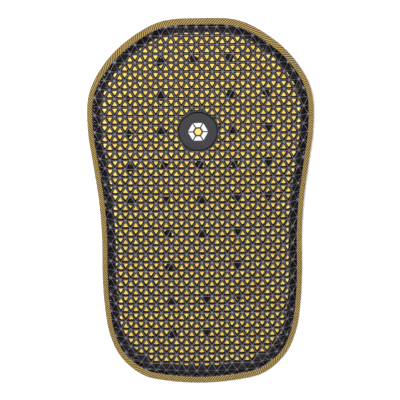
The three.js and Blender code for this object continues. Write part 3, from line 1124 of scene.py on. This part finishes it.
def foam_material(group):
    """Yellow open foam, browner in its pores, with painted shade in the vents and painted shade under the
    badge and in the gap round it.
    """
    material, tree, shader = new_material("yellow_foam")
    fine, broad = grain(tree, group, 1400.0, 90.0)
    edge = ranged(tree, attribute(tree, "depth"), 12.0, 22.0)
    warm = mixed(tree, ranged(tree, broad, 0.3, 0.7), *FOAM_YELLOWS)
    colour = mixed(tree, edge, FOAM_RIM_BUFF, warm)
    colour = mixed(tree, ranged(tree, fine, 0.25, 0.45), FOAM_PORES, colour)
    colour = mixed(tree, ranged(tree, attribute(tree, "level"), 0.8, 0.97), VENT_SHADE, colour)
    # Painted shade on the foam under the badge and in the gap round it
    where = tree.nodes.new("ShaderNodeTexCoord").outputs["Object"]
    away = add_node(tree, "ShaderNodeVectorMath", {"operation": "DISTANCE"}, _0=where, _1=badge_axes()[0])
    outside_seat_shade = ranged(tree, away.outputs["Value"], SEAT_SHADE_RADIUS * MM, (SEAT_SHADE_RADIUS + 1) * MM)
    colour = mixed(tree, outside_seat_shade, BADGE_SEAT_SHADE, colour)
    look(tree, shader, Base_Color=colour, Roughness=0.9, Normal=bump(tree, fine, 0.0004, 0.6))
    return material


def cloth_material(group):
    """Black plain-woven cloth, matt."""
    material, tree, shader = new_material("black_cloth")
    fine, broad = grain(tree, group, 1500.0, 40.0)
    where = tree.nodes.new("ShaderNodeTexCoord").outputs["Object"]
    waves = []
    for direction in ("X", "Y"):
        wave = add_node(
            tree, "ShaderNodeTexWave", {"bands_direction": direction, "wave_profile": "SIN"},
            Vector=where, Scale=320.0, Distortion=0.4)
        waves.append(wave.outputs["Fac"])
    weave = math_node(tree, "MULTIPLY", *waves)
    threads = math_node(tree, "MULTIPLY", weave, 0.7)
    tone = math_node(tree, "ADD", threads, math_node(tree, "MULTIPLY", broad, 0.4))
    colour = mixed(tree, tone, *CLOTH_BLACKS)
    height = math_node(tree, "ADD", weave, math_node(tree, "MULTIPLY", fine, 0.3))
    look(tree, shader, Base_Color=colour, Roughness=0.85, Sheen_Weight=0.3,
         Normal=bump(tree, height, 0.0003, 0.8))
    return material


def tape_material(group):
    """Golden twill with near-black gaps between its ribs, paler at its selvedge."""
    material, tree, shader = new_material("golden_twill")
    fine, broad = grain(tree, group, 1800.0, 70.0)
    weave = add_node(tree, "ShaderNodeUVMap", {"uv_map": "weave"})
    split = add_node(tree, "ShaderNodeSeparateXYZ", Vector=weave.outputs[0])
    rib = math_node(tree, "FRACT", split.outputs[0])
    arch = math_node(tree, "ABSOLUTE", math_node(tree, "SINE", math_node(tree, "MULTIPLY", rib, math.pi)))
    lit = ranged(tree, arch, 0.64, 0.9)
    golden = mixed(tree, broad, *TAPE_GOLDS)
    golden = mixed(tree, ranged(tree, fine, 0.35, 0.55), TAPE_FLECKS, golden)
    striped = mixed(tree, lit, TAPE_GAPS, golden)
    selvedge = ranged(tree, split.outputs[1], 0.012, 0.04, 1.0, 0.0)
    colour = mixed(tree, selvedge, striped, SELVEDGE_BUFF)
    look(tree, shader, Base_Color=colour, Roughness=0.8, Sheen_Weight=0.15,
         Normal=bump(tree, fine, 0.0003, 0.6))
    return material


def badge_material(group):
    """Charcoal rubber, matt on the face, with painted shade round the bevel."""
    material, tree, shader = new_material("badge_rubber")
    fine, broad = grain(tree, group, 1100.0, 60.0)
    face = ranged(tree, attribute(tree, "face"), 0.4, 1.1)
    # Painted shade: the bevel is painted black
    colour = mixed(tree, face, BEVEL_SHADE, mixed(tree, broad, *BADGE_GREYS))
    look(tree, shader, Base_Color=colour, Roughness=ranged(tree, fine, 0.3, 0.7, 0.55, 0.7),
         Specular_IOR_Level=0.25, Normal=bump(tree, fine, 0.0002, 0.5))
    return material


def motif_material(group):
    """Raised print, white with a yellow middle, a little worn."""
    material, tree, shader = new_material("badge_print")
    fine, broad = grain(tree, group, 900.0, 80.0)
    inked = mixed(tree, attribute(tree, "yellow"), mixed(tree, broad, *PRINT_WHITES), PRINT_YELLOW)
    colour = mixed(tree, ranged(tree, fine, 0.2, 0.4), PRINT_FLECKS, inked)
    look(tree, shader, Base_Color=colour, Roughness=0.55, Normal=bump(tree, fine, 0.0002, 0.3))
    return material


# Stage: floor, light and camera

CAMERA_TARGET = (-0.8, -210.3, 20)
CAMERA_DISTANCE = 4040
CAMERA_TILT = math.radians(11.9)
CAMERA_SIDE = math.radians(1.9)
CAMERA_ROLL = math.radians(-1.12)
FOCAL_PIXELS = 3416
PHOTO_SIZE = 400
TARGET_PIXEL = (201.2, 196.5)

# Half the floor's side in metres, brightness of the surroundings, each soft box's place, side and power
FLOOR_REACH = 6
SKY_STRENGTH = 0.35
LAMPS = [
    ("key", (-0.35, 0.75, 2.8), 1.0, 80),
    ("left_box", (-1.9, 0.3, 1.5), 0.8, 24),
    ("right_box", (1.9, 0.1, 1.5), 0.8, 20),
]


def make_stage():
    corners = [(x * FLOOR_REACH, y * FLOOR_REACH, 0) for x, y in ((-1, -1), (1, -1), (1, 1), (-1, 1))]
    floor = new_object("floor", mesh_from("floor", corners, [(0, 1, 2, 3)]))
    material, tree, shader = new_material("white_floor")
    where = tree.nodes.new("ShaderNodeTexCoord")
    noise = add_node(tree, "ShaderNodeTexNoise", Vector=where.outputs["Object"], Scale=3.0)
    colour = mixed(tree, noise.outputs[0], *FLOOR_WHITES)
    look(tree, shader, Base_Color=colour, Roughness=0.9)
    floor.data.materials.append(material)


def make_light():
    """White surroundings, a large soft box near the camera and a smaller one on each side."""
    scene = bpy.context.scene
    scene.view_settings.view_transform = "Standard"
    # Denoising would wash out the tape's fine stripes
    scene.cycles.use_denoising = False
    world = bpy.data.worlds.new("studio")
    scene.world = world
    world.use_nodes = True
    sky = world.node_tree.nodes["Background"]
    sky.inputs[0].default_value = (1, 1, 1, 1)
    sky.inputs[1].default_value = SKY_STRENGTH
    for name, place, size, power in LAMPS:
        data = bpy.data.lights.new(name, "AREA")
        data.size = size
        data.energy = power
        lamp = new_object(name, data)
        lamp.location = place
        lamp.rotation_euler = (-Vector(place)).to_track_quat("-Z", "Y").to_euler()


def make_camera():
    back = np.array([[
        -math.sin(CAMERA_SIDE),
        math.sin(CAMERA_TILT) * math.cos(CAMERA_SIDE),
        math.cos(CAMERA_TILT) * math.cos(CAMERA_SIDE),
    ]])
    up = np.array([[0, math.cos(CAMERA_TILT), -math.sin(CAMERA_TILT)]])
    target = (leaned(np.array([CAMERA_TARGET], float), LEAN)[0] + SHIFT) * MM
    back = Vector(leaned(back, LEAN)[0])
    up = Vector(leaned(up, LEAN)[0])
    side = up.cross(back).normalized()
    up = back.cross(side)
    roll = Matrix.Rotation(CAMERA_ROLL, 3, back)
    side, up = roll @ side, roll @ up
    data = bpy.data.cameras.new("photo_camera")
    data.sensor_width = 36
    data.lens = FOCAL_PIXELS / PHOTO_SIZE * data.sensor_width
    data.shift_x = (PHOTO_SIZE / 2 - TARGET_PIXEL[0]) / PHOTO_SIZE
    data.shift_y = (TARGET_PIXEL[1] - PHOTO_SIZE / 2) / PHOTO_SIZE
    data.clip_end = 50
    camera = new_object("photo_camera", data)
    place = Vector(target) + back * CAMERA_DISTANCE * MM
    camera.matrix_world = frame_matrix(place, side, up, back)
    bpy.context.scene.camera = camera


grains = grain_group()
net = make_net(rubber_material(grains))
foam = make_foam(foam_material(grains))
back = make_back(cloth_material(grains))
tape = make_tape(tape_material(grains))
badge = make_badge(badge_material(grains))
motif = make_motif(motif_material(grains))

STANDS_FOR = (
    (net, "net"), (foam, "foam_core"), (back, "back_sheet"), (tape, "edge_tape"), (badge, "badge"),
)
for obj, node in STANDS_FOR:
    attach(obj, "root")
    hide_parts(node)
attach(motif, "root")

# The backing is cut to the outline, inside the tape's fold
SHEET_CUT = outline_polygon(SHEET_INSET, STATIONS) * MM

make_stage()
make_light()
make_camera()

bpy.context.view_layer.update()
